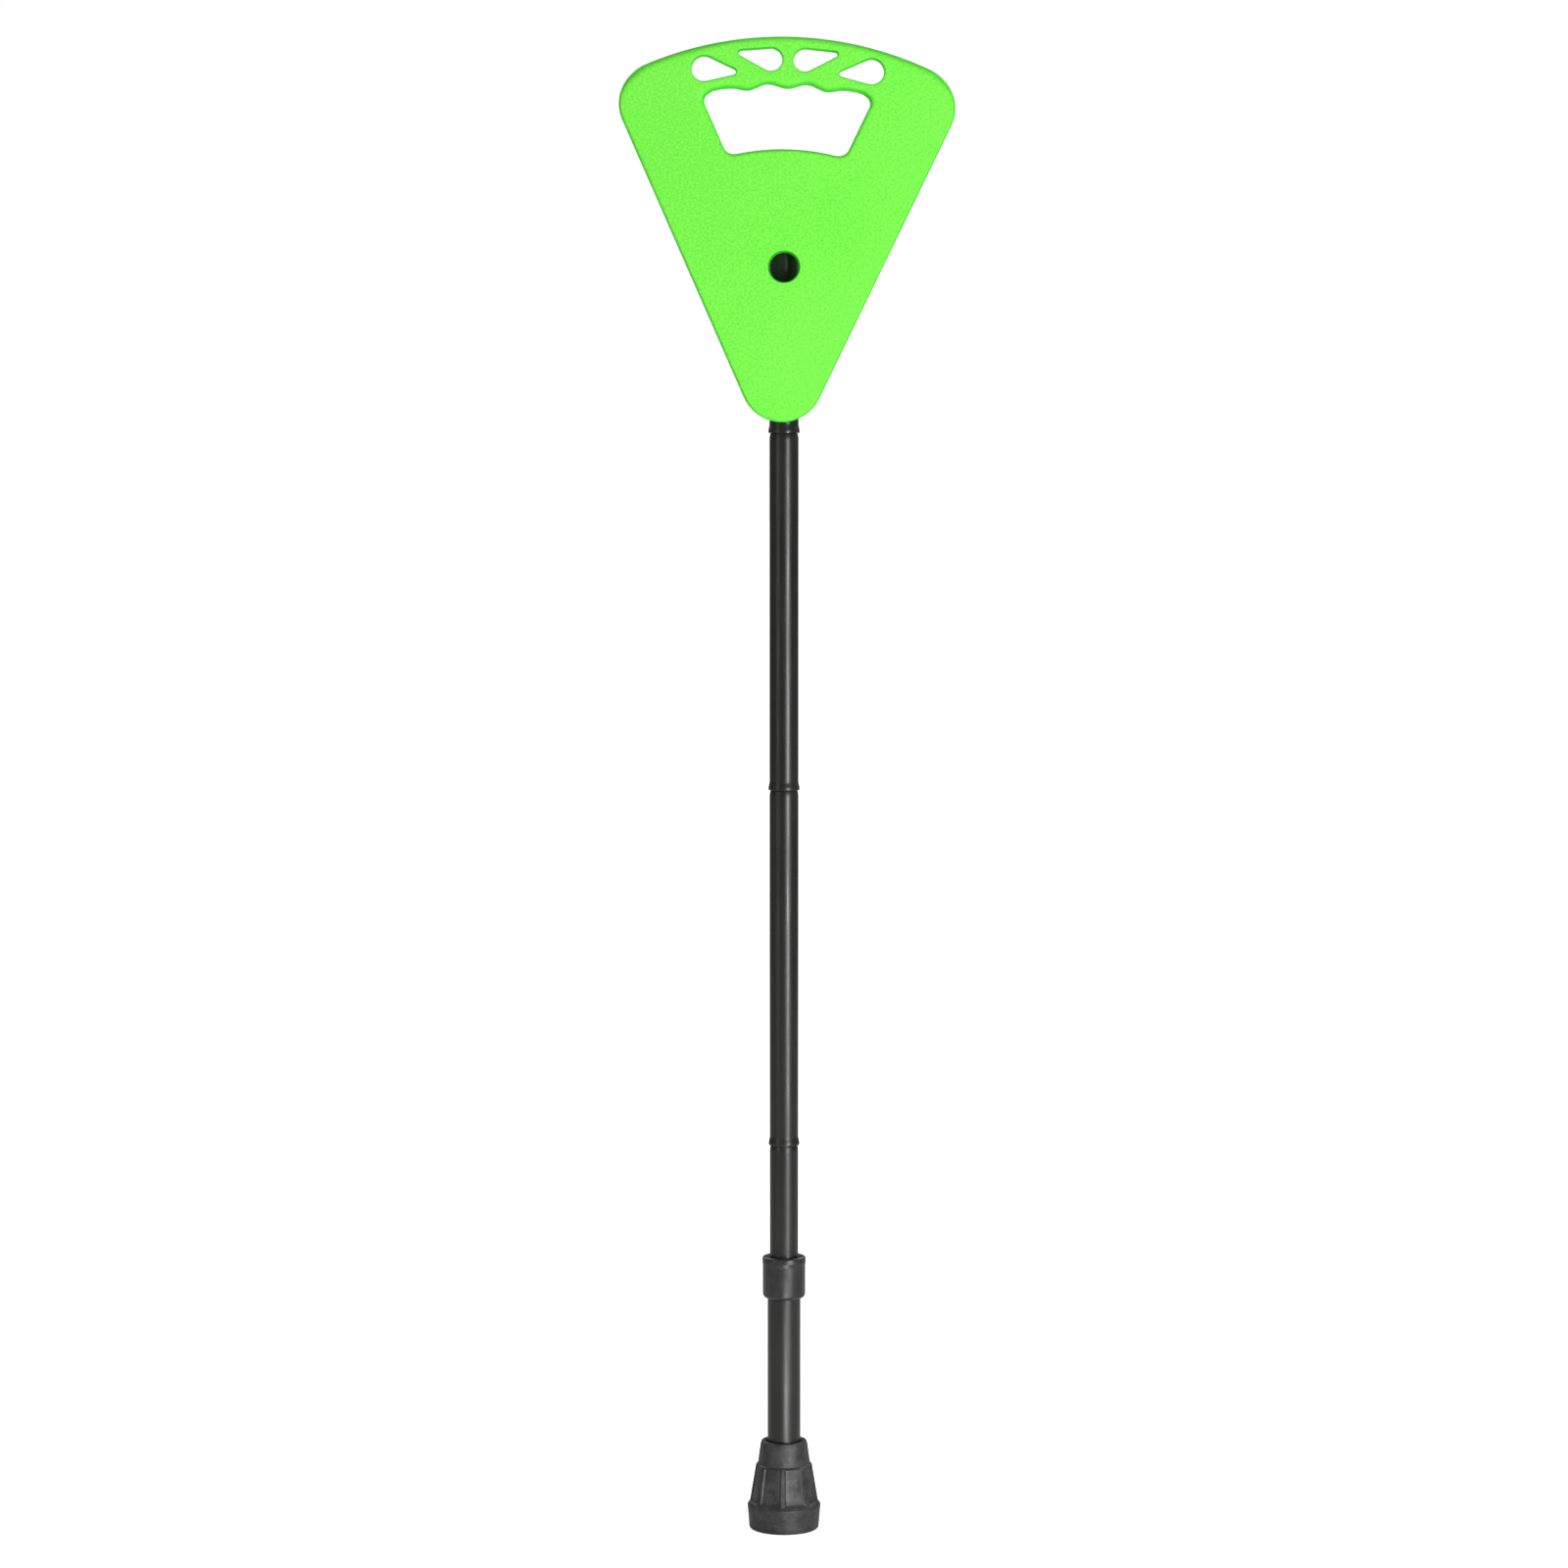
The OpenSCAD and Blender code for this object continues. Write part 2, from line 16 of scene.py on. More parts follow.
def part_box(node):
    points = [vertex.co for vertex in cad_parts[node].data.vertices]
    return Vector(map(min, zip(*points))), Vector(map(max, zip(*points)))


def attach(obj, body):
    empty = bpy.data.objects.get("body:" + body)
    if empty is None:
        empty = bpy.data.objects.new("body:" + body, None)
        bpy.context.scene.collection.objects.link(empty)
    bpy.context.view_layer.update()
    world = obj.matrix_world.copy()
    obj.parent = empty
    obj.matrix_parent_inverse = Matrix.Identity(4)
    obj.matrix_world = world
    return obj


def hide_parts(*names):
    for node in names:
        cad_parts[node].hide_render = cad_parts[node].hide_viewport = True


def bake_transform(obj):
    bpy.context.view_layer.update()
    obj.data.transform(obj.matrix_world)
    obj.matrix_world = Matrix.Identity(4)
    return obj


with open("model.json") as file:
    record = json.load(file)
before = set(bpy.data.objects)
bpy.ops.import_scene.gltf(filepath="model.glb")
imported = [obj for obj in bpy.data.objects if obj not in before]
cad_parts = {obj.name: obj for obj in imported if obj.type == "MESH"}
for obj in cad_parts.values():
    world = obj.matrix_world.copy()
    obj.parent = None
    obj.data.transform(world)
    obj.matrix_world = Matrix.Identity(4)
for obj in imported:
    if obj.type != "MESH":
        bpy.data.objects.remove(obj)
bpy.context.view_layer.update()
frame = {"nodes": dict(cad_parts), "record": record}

MM = 0.001


def box_mm(node):
    """The lowest and highest corners of a CAD node in millimetres."""
    low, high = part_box(node)
    return low / MM, high / MM


# ---- Driving dimensions ------------------------------------------------------------------------

# The seat's outline, in its own upright plane: u to the right, v up.
SEAT_TOP = 911.1
SEAT_LOW = 681.4
SEAT_W = 201.4
CORNER_R = 25
CORNER_V = 870.2                # centres of the two upper corners
SEAT_LEAN = math.radians(1.1)   # about the round hole
HOLE_R = 9.6
HOLE_V = 774.3

# The hollows in the seat's back.
SKIN = 3.2                      # wall in front of them
RIM = 3                         # wall beside them, and round each boss
RIB_T = 2.2
RIB_PITCH = 22
RIB_START = 28                  # from the seat's lowest point to the middle of a rib
RIB_ROWS = range(-1, 6)
RIB_COLUMNS = range(-4, 5)
POCKET_R = 1.5
POCKET_TAPER = 0.95
POCKET_MIN = 3                  # a narrower pocket is left filled
GRIP_ZONE = 836                 # the seat is solid above this height
PAST = 2                        # how far a cutter stands out of the back that it cuts
BOSS_PAST = 3                   # how far a boss stands out of the hollows that it fills
BOSS_SUNK = 1                   # and how far it reaches in front of them

# Roundings of the seat's front edges, and of every edge at its back.
TOP_ROUND = 3.8                 # along the crown
SHOULDER_ROUND = 2.8            # added where the crown turns into a side
SIDE_ROUND = 2.2
GRIP_ROUND_TOP = 3.9            # along the finger crests
GRIP_ROUND = 2.7                # round the rest of the hand opening
GRIP_ROUND_FROM = 866           # height where the crests' rounding starts to set in
GRIP_ROUND_OVER = 11            # and how much further up it is full
WINDOW_ROUND = 1.4
HOLE_ROUND = 0.4
HOLE_DRAFT = 0.85               # how far the round hole narrows towards the back
BACK_ROUND = 0.8

# Where the hinge bracket's plate and screws, and the pad, sit in the seat's back.
PLATE_HALF = (21.5, 16.5)
PLATE_T = 3
PLATE_R = 2
PLATE_SLACK = 0.05
SCREW_AT = (16, 9.5)
SCREW_R = 1.95
BOSS_R = 4.5
PAD_R = 6.05
PAD_V = 702

# The shaft.
TUBE_R = 8.8
BORE_R = 7.8
BELL_R = 9.5                    # the bell at the foot of a tube that stands on another
BELL_H = 5.6
JOINT_CLOSED = 0.17             # how far a tube's top is raised to close the gap below the bell
OUTER_BORE_R = 8.87
BUTTON_HOLE_R = 3.0
ADJUST_HOLE_R = 3.1
ADJUST_PITCH = 12
ADJUST_HOLES = 7
CORD_R = 2.5

seat_low, seat_high = box_mm("seat_panel")
SEAT_FRONT, SEAT_BACK = seat_low.y, seat_high.y
HINGE_Z = (box_mm("hinge_bolt")[0].z + box_mm("hinge_bolt")[1].z) / 2
JOINT_ZS = [box_mm(node)[0].z for node in ("upper_tube", "tube_2", "tube_3")]


# ---- Mesh tools --------------------------------------------------------------------------------

def mesh_object(name, points, faces):
    """A smooth-shaded object from points in millimetres, with its faces turned outwards."""
    mesh = bpy.data.meshes.new(name)
    mesh.from_pydata([tuple(MM * float(c) for c in p) for p in points], [], faces)
    work = bmesh.new()
    work.from_mesh(mesh)
    bmesh.ops.remove_doubles(work, verts=work.verts, dist=1e-7)
    bmesh.ops.dissolve_degenerate(work, edges=work.edges, dist=1e-8)
    bmesh.ops.recalc_face_normals(work, faces=work.faces)
    work.to_mesh(mesh)
    work.free()
    obj = bpy.data.objects.new(name, mesh)
    bpy.context.scene.collection.objects.link(obj)
    shade(mesh)
    return obj


def shade(mesh, sharp_degrees=38):
    """Smooth shading, with edges sharper than the angle left crisp."""
    mesh.shade_smooth()
    mesh.set_sharp_from_angle(angle=math.radians(sharp_degrees))


def arc(centre, radius, start, end, count):
    """Points along an arc from one angle to another, in degrees, without its last point."""
    a = np.radians(np.linspace(start, end, count, endpoint=False))
    return np.array(centre) + radius * np.column_stack([np.cos(a), np.sin(a)])


def even(loop, count):
    """The closed loop with its points spaced evenly."""
    closed = np.vstack([loop, loop[:1]])
    run = np.concatenate([[0], np.cumsum(np.linalg.norm(np.diff(closed, axis=0), axis=1))])
    at = np.linspace(0, run[-1], count, endpoint=False)
    return np.column_stack([np.interp(at, run, closed[:, k]) for k in (0, 1)])


def softened(loop, passes):
    """The closed loop with its corners eased by averaging each point with its neighbours."""
    for _ in range(passes):
        loop = (np.roll(loop, 1, 0) + 2 * loop + np.roll(loop, -1, 0)) / 4
    return loop


def outwards(loop):
    """Unit normals of a counterclockwise loop, pointing away from its inside."""
    ahead = np.roll(loop, -1, 0) - np.roll(loop, 1, 0)
    side = np.column_stack([ahead[:, 1], -ahead[:, 0]])
    return side / np.linalg.norm(side, axis=1)[:, None]


def rounded(corners, steps=6):
    """A closed outline through (x, y, radius) corners, each rounded to its own radius."""
    points = []
    for i, (x, y, radius) in enumerate(corners):
        here = Vector((x, y))
        if not radius:
            points.append(here)
            continue
        back = (Vector(corners[i - 1][:2]) - here).normalized()
        on = (Vector(corners[(i + 1) % len(corners)][:2]) - here).normalized()
        half = back.angle(on) / 2
        centre = here + (back + on).normalized() * (radius / math.sin(half))
        first = here + back * (radius / math.tan(half)) - centre
        last = here + on * (radius / math.tan(half)) - centre
        start = math.atan2(first.y, first.x)
        turn = (math.atan2(last.y, last.x) - start + math.pi) % math.tau - math.pi
        for k in range(steps + 1):
            a = start + turn * k / steps
            points.append(centre + radius * Vector((math.cos(a), math.sin(a))))
    return np.array([tuple(p) for p in points])


def lathe(name, profile, segments=128, radius_at=None):
    """A body turned about Z from a closed profile of (radius, height) points.

    radius_at(angle, radius, height) may change the radius as the profile goes round."""
    points, faces, n = [], [], len(profile)
    for s in range(segments):
        a = math.tau * s / segments
        for r, z in profile:
            if radius_at:
                r = radius_at(a, r, z)
            points.append((r * math.cos(a), r * math.sin(a), z))
    for s in range(segments):
        t = (s + 1) % segments
        for k in range(n):
            m = (k + 1) % n
            faces.append((s * n + k, t * n + k, t * n + m, s * n + m))
    return mesh_object(name, points, faces)


def prism(outline, y0, y1, taper=1.0):
    """Points and faces of an upright outline in X and Z filled from y0 to y1.

    At y0 the outline is shrunk about its middle by the taper."""
    n, middle = len(outline), outline.mean(0)
    shrunk = middle + (outline - middle) * taper
    points = [(u, y0, v) for u, v in shrunk] + [(u, y1, v) for u, v in outline]
    faces = [tuple(range(n)), tuple(range(2 * n - 1, n - 1, -1))]
    faces += [(k, n + k, n + (k + 1) % n, (k + 1) % n) for k in range(n)]
    return points, faces


def joined(shapes):
    """Several (points, faces) shapes as one."""
    points, faces = [], []
    for shape_points, shape_faces in shapes:
        faces += [tuple(len(points) + i for i in face) for face in shape_faces]
        points += shape_points
    return points, faces


def taken(obj):
    """The points and faces of an object, which goes."""
    points = [tuple(v.co / MM) for v in obj.data.vertices]
    faces = [tuple(p.vertices) for p in obj.data.polygons]
    bpy.data.objects.remove(obj)
    return points, faces


def cut(obj, cutters):
    """Cuts shapes out of an object and keeps only the result."""
    tool = mesh_object("cutter", *joined(cutters))
    modifier = obj.modifiers.new("cut", "BOOLEAN")
    modifier.object = tool
    modifier.operation = "DIFFERENCE"
    modifier.solver = "EXACT"
    graph = bpy.context.evaluated_depsgraph_get()
    result = bpy.data.meshes.new_from_object(obj.evaluated_get(graph))
    obj.modifiers.clear()
    spare = obj.data
    obj.data = result
    bpy.data.meshes.remove(spare)
    bpy.data.objects.remove(tool)
    shade(obj.data)


# ---- Materials ---------------------------------------------------------------------------------

# The noise values between which a colour and a roughness run.
COLOUR_SPAN = (0.35, 0.65)
ROUGH_SPAN = (0.3, 0.7)


def new_material(name, colour, roughness, metallic=0.0, specular=0.5):
    """A material whose shader has one even colour, ready for detail."""
    material = bpy.data.materials.new(name)
    material.use_nodes = True
    shader = material.node_tree.nodes["Principled BSDF"]
    shader.inputs["Base Color"].default_value = (*colour, 1)
    shader.inputs["Roughness"].default_value = roughness
    shader.inputs["Metallic"].default_value = metallic
    shader.inputs["Specular IOR Level"].default_value = specular
    return material


def noise(material, size, stretch=(1, 1, 1), detail=3.0):
    """Noise whose grains measure about size, in metres, and stretch times that along each axis."""
    nodes, links = material.node_tree.nodes, material.node_tree.links
    place = nodes.new("ShaderNodeTexCoord")
    scale = nodes.new("ShaderNodeMapping")
    grain = nodes.new("ShaderNodeTexNoise")
    scale.inputs["Scale"].default_value = [1 / (size * s) for s in stretch]
    grain.inputs["Scale"].default_value = 1
    grain.inputs["Detail"].default_value = detail
    links.new(place.outputs["Object"], scale.inputs["Vector"])
    links.new(scale.outputs["Vector"], grain.inputs["Vector"])
    return grain.outputs["Fac"]


def ramped(material, fac, low, high):
    """A colour that goes from low to high with the noise."""
    ramp = material.node_tree.nodes.new("ShaderNodeValToRGB")
    for stop, place, colour in zip(ramp.color_ramp.elements, COLOUR_SPAN, (low, high)):
        stop.position = place
        stop.color = (*colour, 1)
    material.node_tree.links.new(fac, ramp.inputs["Fac"])
    return ramp.outputs["Color"]


def blended(material, first, second, share):
    """Two colours mixed by an even share."""
    mix = material.node_tree.nodes.new("ShaderNodeMix")
    mix.data_type = "RGBA"
    mix.inputs["Factor"].default_value = share
    material.node_tree.links.new(first, mix.inputs["A"])
    material.node_tree.links.new(second, mix.inputs["B"])
    return mix.outputs["Result"]


def split(material, output):
    """The X, Y and Z of a texture coordinate output of the piece."""
    nodes = material.node_tree.nodes
    place = nodes.new("ShaderNodeTexCoord")
    axes = nodes.new("ShaderNodeSeparateXYZ")
    material.node_tree.links.new(place.outputs[output], axes.inputs["Vector"])
    return axes.outputs


def calculated(material, operation, *values):
    """The value of a math node, whose inputs are numbers or other nodes' outputs."""
    node = material.node_tree.nodes.new("ShaderNodeMath")
    node.operation = operation
    for socket, value in zip(node.inputs, values):
        if isinstance(value, (int, float)):
            socket.default_value = value
        else:
            material.node_tree.links.new(value, socket)
    return node.outputs["Value"]


def painted_edge_shade(material, colour, shaded_colour, start, full):
    """Painted shade: a colour that darkens to a shaded one as the surface turns off the piece's own Y
    axis.

    start and full are how squarely the surface still faces Y where the change sets in and ends."""
    nodes, links = material.node_tree.nodes, material.node_tree.links
    facing = calculated(material, "ABSOLUTE", split(material, "Normal")["Y"])
    # Mask of the painted shade: 0 where the surface faces the front, 1 where it has turned away.
    shade_mask = nodes.new("ShaderNodeMapRange")
    shade_mask.inputs["From Min"].default_value = start
    shade_mask.inputs["From Max"].default_value = full
    mix = nodes.new("ShaderNodeMix")
    mix.data_type = "RGBA"
    mix.inputs["B"].default_value = (*shaded_colour, 1)
    links.new(facing, shade_mask.inputs["Value"])
    links.new(shade_mask.outputs["Result"], mix.inputs["Factor"])
    links.new(colour, mix.inputs["A"])
    return mix.outputs["Result"]


def paint(material, colour):
    """Gives the shader a colour that varies over the surface."""
    shader = material.node_tree.nodes["Principled BSDF"]
    material.node_tree.links.new(colour, shader.inputs["Base Color"])


def vary_roughness(material, fac, low, high):
    """Lets the roughness wander between two values."""
    spread = material.node_tree.nodes.new("ShaderNodeMapRange")
    spread.inputs["From Min"].default_value = ROUGH_SPAN[0]
    spread.inputs["From Max"].default_value = ROUGH_SPAN[1]
    spread.inputs["To Min"].default_value = low
    spread.inputs["To Max"].default_value = high
    shader = material.node_tree.nodes["Principled BSDF"]
    material.node_tree.links.new(fac, spread.inputs["Value"])
    material.node_tree.links.new(spread.outputs["Result"], shader.inputs["Roughness"])


def emboss(material, fac, depth, strength=1.0):
    """Adds relief of a depth in metres, on top of any that the material has."""
    nodes, links = material.node_tree.nodes, material.node_tree.links
    bump = nodes.new("ShaderNodeBump")
    bump.inputs["Distance"].default_value = depth
    bump.inputs["Strength"].default_value = strength
    normal = nodes["Principled BSDF"].inputs["Normal"]
    if normal.links:
        links.new(normal.links[0].from_socket, bump.inputs["Normal"])
    links.new(fac, bump.inputs["Height"])
    links.new(bump.outputs["Normal"], normal)


def seat_plastic():
    """Bright green moulding: etched grain, a faint drift of tone, and painted shade on its rounded
    edges.
    """
    material = new_material("seat_plastic", (0.2, 0.93, 0.07), 0.5, specular=0.22)
    flow = ramped(material, noise(material, 0.06), (0.165, 0.90, 0.055), (0.215, 0.95, 0.08))
    fleck = ramped(material, noise(material, 0.0015), (0.125, 0.83, 0.04), (0.26, 0.98, 0.1))
    face = blended(material, flow, fleck, share=0.7)
    # Painted shade: the rounded edges turn a darker green where they face away from the front.
    paint(material, painted_edge_shade(material, face, (0.06, 0.72, 0.022), start=0.985, full=0.55))
    vary_roughness(material, noise(material, 0.004), 0.46, 0.56)
    emboss(material, noise(material, 0.0005, detail=2), depth=0.00004)
    emboss(material, noise(material, 0.02, detail=1), depth=0.00012, strength=0.4)
    return material


def black_tube():
    """Black anodised tube with faint lines along it from the drawing die."""
    material = new_material("black_tube", (0.012, 0.012, 0.0115), 0.34, specular=0.45)
    cloud = noise(material, 0.018, stretch=(1, 1, 3))
    paint(material, ramped(material, cloud, (0.008, 0.008, 0.0075), (0.014, 0.014, 0.013)))
    vary_roughness(material, noise(material, 0.003, stretch=(1, 1, 12)), 0.3, 0.4)
    drawn = noise(material, 0.0006, stretch=(1, 1, 60), detail=2)
    emboss(material, drawn, depth=0.00002, strength=0.6)
    emboss(material, noise(material, 0.0004, detail=2), depth=0.000012, strength=0.5)
    return material


def black_plastic():
    """Black moulding with a fine satin grain."""
    material = new_material("black_plastic", (0.012, 0.012, 0.012), 0.36)
    cloud = noise(material, 0.006)
    paint(material, ramped(material, cloud, (0.009, 0.009, 0.009), (0.018, 0.018, 0.0175)))
    vary_roughness(material, noise(material, 0.002), 0.3, 0.42)
    emboss(material, noise(material, 0.0005, detail=2), depth=0.00003, strength=0.8)
    return material


def foot_rubber():
    """Dark grey rubber, mottled with dust and bloom."""
    material = new_material("foot_rubber", (0.02, 0.02, 0.021), 0.5, specular=0.4)
    bloom = ramped(material, noise(material, 0.008, detail=5), (0.005, 0.0055, 0.006),
                   (0.042, 0.042, 0.043))
    dust = ramped(material, noise(material, 0.0012), (0.011, 0.0115, 0.012), (0.034, 0.034, 0.034))
    paint(material, blended(material, bloom, dust, share=0.4))
    vary_roughness(material, noise(material, 0.003), 0.42, 0.58)
    emboss(material, noise(material, 0.0007), depth=0.00012)
    emboss(material, noise(material, 0.005), depth=0.0005, strength=0.7)
    return material


def bare_metal(name, colour, stretch, low, high):
    """Bare metal of a roughness between low and high, its fine grain stretched along each axis."""
    material = new_material(name, colour, (low + high) / 2, metallic=1.0)
    dull = tuple(0.8 * c for c in colour)
    paint(material, ramped(material, noise(material, 0.004), dull, colour))
    vary_roughness(material, noise(material, 0.0006, stretch), low, high)
    emboss(material, noise(material, 0.0003, stretch, detail=2), depth=0.00001, strength=0.7)
    return material


def spiral(material, strands, pitch):
    """Rounded strands wound about the Z axis, each rising by the pitch, in metres, in one turn."""
    axes = split(material, "Object")
    turn = calculated(material, "ARCTAN2", axes["Y"], axes["X"])
    wound = calculated(material, "MULTIPLY_ADD", axes["Z"], math.tau / pitch, turn)
    return calculated(material, "SINE", calculated(material, "MULTIPLY", wound, strands))


def cord_elastic():
    """Black elastic cord: strands of braid that cross in two spirals."""
    material = new_material("cord_elastic", (0.03, 0.03, 0.03), 0.8)
    fray = noise(material, 0.0006)
    paint(material, ramped(material, fray, (0.02, 0.02, 0.02), (0.055, 0.055, 0.055)))
    for pitch in (0.014, -0.014):
        emboss(material, spiral(material, strands=8, pitch=pitch), depth=0.00012)
    emboss(material, fray, depth=0.0001, strength=0.6)
    return material


# One material for each of the record's material slots.
MATERIALS = {
    "seat_plastic": seat_plastic(),
    "black_tube": black_tube(),
    "black_plastic": black_plastic(),
    "foot_rubber": foot_rubber(),
    "fastener_steel": bare_metal("fastener_steel", (0.62, 0.62, 0.60), (1, 1, 1), 0.28, 0.42),
    "bare_aluminium": bare_metal("bare_aluminium", (0.74, 0.74, 0.75), (1, 1, 40), 0.24, 0.38),
    "cord_elastic": cord_elastic()}
SLOTS = {part["node"]: part["material_slot"] for part in frame["record"]["subparts"]}
BODIES = {node: body for body, nodes in frame["record"]["behaviour"]["bodies"].items()
          for node in nodes}


def dress(obj, node):
    """Gives a new piece the material and the record's slot of the CAD node that it stands for."""
    obj.data.materials.clear()
    obj.data.materials.append(MATERIALS[SLOTS[node]])
    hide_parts(node)


def stands_for(obj, node):
    """Puts a new piece in its CAD node's place, on that node's body."""
    dress(obj, node)
    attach(obj, BODIES[node])


# ---- Seat --------------------------------------------------------------------------------------

# The corners' places, the sides' slope off upright, and the long arc that touches both corners.
CORNER_U = SEAT_W / 2 - CORNER_R
LOW_V = SEAT_LOW + CORNER_R
SIDE = math.degrees(math.atan2(CORNER_U, CORNER_V - LOW_V))
CROWN = SEAT_TOP - CORNER_V
TOP_R = (CORNER_U ** 2 + CROWN ** 2 - CORNER_R ** 2) / (2 * (CROWN - CORNER_R))
TOP_V = SEAT_TOP - TOP_R


def seat_loop():
    """The seat's outline: three round corners, two straight sides and a long arc over the top."""
    shoulder = math.degrees(math.atan2(CORNER_V - TOP_V, CORNER_U))
    return even(np.vstack([
        arc((0, LOW_V), CORNER_R, 180 + SIDE, 360 - SIDE, 60),
        arc((CORNER_U, CORNER_V), CORNER_R, -SIDE, shoulder, 60),
        arc((0, TOP_V), TOP_R, shoulder, 180 - shoulder, 120),
        arc((-CORNER_U, CORNER_V), CORNER_R, 180 - shoulder, 180 + SIDE, 60)]), 420)


def eased(u, keys):
    """A height that runs through the keys with level crests and dips."""
    for (u0, v0), (u1, v1) in zip(keys, keys[1:]):
        if u <= u1:
            return v0 + (v1 - v0) * (1 - math.cos(math.pi * (u - u0) / (u1 - u0))) / 2
    return keys[-1][1]


def grip_loop():
    """The hand opening: finger crests above, splayed sides, an arched lower edge."""
    crests = [(0, 880.7), (11.5, 883.1), (24.5, 879.1), (32.8, 880.2)]
    shoulder, shoulder_r = (32.8, 839.2), 41
    upper, upper_r = (44.7, 872.5), 5.1
    lower, lower_r = (31.5, 847.3), 6.5
    arch, arch_r = (0, 711.3), 133
    turn = math.degrees(math.atan2(upper[1] - shoulder[1], upper[0] - shoulder[0]))
    foot = math.degrees(math.atan2(lower[1] - arch[1], lower[0] - arch[0]))
    right = np.vstack([
        [(u, eased(u, crests)) for u in np.linspace(0, crests[-1][0], 60, endpoint=False)],
        arc(shoulder, shoulder_r, 90, turn, 16),
        arc(upper, upper_r, turn, -SIDE, 24),
        arc(lower, lower_r, -SIDE, foot - 180, 24),
        arc(arch, arch_r, foot, 90, 24), [(0, arch[1] + arch_r)]])
    left = right[-2:0:-1] * (-1, 1)
    return softened(even(np.vstack([right, left])[::-1], 360), 2)


def drop_loop(big, big_r, small, small_r):
    """A drop: a large round end and a small one, joined by their common tangents."""
    run = np.subtract(small, big)
    heading = math.degrees(math.atan2(run[1], run[0]))
    flare = math.degrees(math.acos((big_r - small_r) / np.hypot(*run)))
    return even(np.vstack([
        arc(big, big_r, heading + flare, heading + 360 - flare, 48),
        arc(small, small_r, heading - flare, heading + flare, 16)]), 120)


def window_loops():
    """The four drop-shaped windows that lighten the grip."""
    right = [drop_loop((10.2, 897.4), 6.9, (27.9, 901.0), 1.8),
             drop_loop((50.1, 891.3), 7.6, (32.9, 889.7), 2.0)]
    return right + [loop[::-1] * (-1, 1) for loop in right]


def ring_stack(loop, inward, front_round, back_round, draft=0, front_steps=9, back_steps=4):
    """Rings from the flat front, round the front edge, down the wall and round the back edge.

    inward is 1 for an outline and -1 for an opening; the roundings eat into the material, and a
    draft lets the wall grow out of it towards the back."""
    normal, rings = outwards(loop), []
    for k in range(front_steps + 1):
        a = math.pi / 2 * k / front_steps
        into = front_round * (1 - math.sin(a))
        depth = SEAT_FRONT + front_round * (1 - math.cos(a))
        rings.append((into, depth))
    for k in range(back_steps, -1, -1):
        a = math.pi / 2 * k / back_steps
        into = back_round * (1 - math.sin(a)) - draft
        rings.append((into, SEAT_BACK - back_round * (1 - math.cos(a))))
    stack = []
    for into, depth in rings:
        flat = loop - inward * normal * np.reshape(into, (-1, 1))
        stack.append(np.column_stack([flat[:, 0], np.broadcast_to(depth, len(loop)), flat[:, 1]]))
    return stack


def inside(points, loop):
    """Which of the points lie inside the closed loop."""
    x, y = points[:, :1], points[:, 1:]
    x0, y0 = loop[:, 0], loop[:, 1]
    x1, y1 = np.roll(x0, -1), np.roll(y0, -1)
    spans = (y0 > y) != (y1 > y)
    rise = np.where(y1 == y0, 1, y1 - y0)
    return (spans & (x < x0 + (y - y0) * (x1 - x0) / rise)).sum(1) % 2 == 1


def cap(rings, first):
    """Faces that fill a flat plate with openings; rings are its loops, the outline first."""
    flat = [np.delete(ring, 1, 1) for ring in rings]
    ids = [np.arange(start, start + len(ring)) for start, ring in zip(first, rings)]
    points = np.vstack(flat)
    index = np.concatenate(ids)
    edges, start = [], 0
    for ring in flat:
        n = len(ring)
        edges += [(start + k, start + (k + 1) % n) for k in range(n)]
        start += n
    triangles, closest = 1, 1e-6
    _, _, faces, sources, _, _ = delaunay_2d_cdt([Vector(p) for p in points], edges, [],
                                                 triangles, closest)
    faces = np.array([[sources[v][0] for v in face] for face in faces])
    middle = points[faces].mean(1)
    keep = inside(middle, flat[0])
    for ring in flat[1:]:
        keep &= ~inside(middle, ring)
    return [tuple(int(index[v]) for v in face) for face in faces[keep]]


def outline_round(outline):
    """The rounding at each point of the seat's outline: most at the shoulders, least at the sides."""
    sideways, upward = outwards(outline).T
    upward = np.clip(upward, 0, 1)
    crown = SIDE_ROUND + (TOP_ROUND - SIDE_ROUND) * upward ** 2
    return crown + SHOULDER_ROUND * (2 * sideways * upward) ** 2


def grip_round(grip):
    """The rounding at each point of the hand opening, which grows towards the finger crests."""
    height = np.clip((grip[:, 1] - GRIP_ROUND_FROM) / GRIP_ROUND_OVER, 0, 1)
    return GRIP_ROUND + (GRIP_ROUND_TOP - GRIP_ROUND) * height ** 2 * (3 - 2 * height)


def seat_plate():
    """The moulding before its back is hollowed: rounded edges and every opening."""
    outline, grip = seat_loop(), grip_loop()
    hole = arc((0, HOLE_V), HOLE_R, 0, 360, 96)
    stacks = [ring_stack(outline, 1, outline_round(outline), BACK_ROUND),
              ring_stack(grip, -1, grip_round(grip), BACK_ROUND),
              ring_stack(hole, -1, HOLE_ROUND, BACK_ROUND / 2, HOLE_DRAFT)]
    stacks += [ring_stack(loop, -1, WINDOW_ROUND, BACK_ROUND) for loop in window_loops()]
    points, faces, front, back = [], [], [], []
    for stack in stacks:
        n = len(stack[0])
        front.append(len(points))
        for depth, ring in enumerate(stack):
            start = len(points)
            points += [tuple(p) for p in ring]
            if depth:
                faces += [(start - n + k, start - n + (k + 1) % n, start + (k + 1) % n, start + k)
                          for k in range(n)]
        back.append(len(points) - n)
    faces += cap([stack[0] for stack in stacks], front)
    faces += cap([stack[-1] for stack in stacks], back)
    return mesh_object("seat_panel_visual", points, faces)


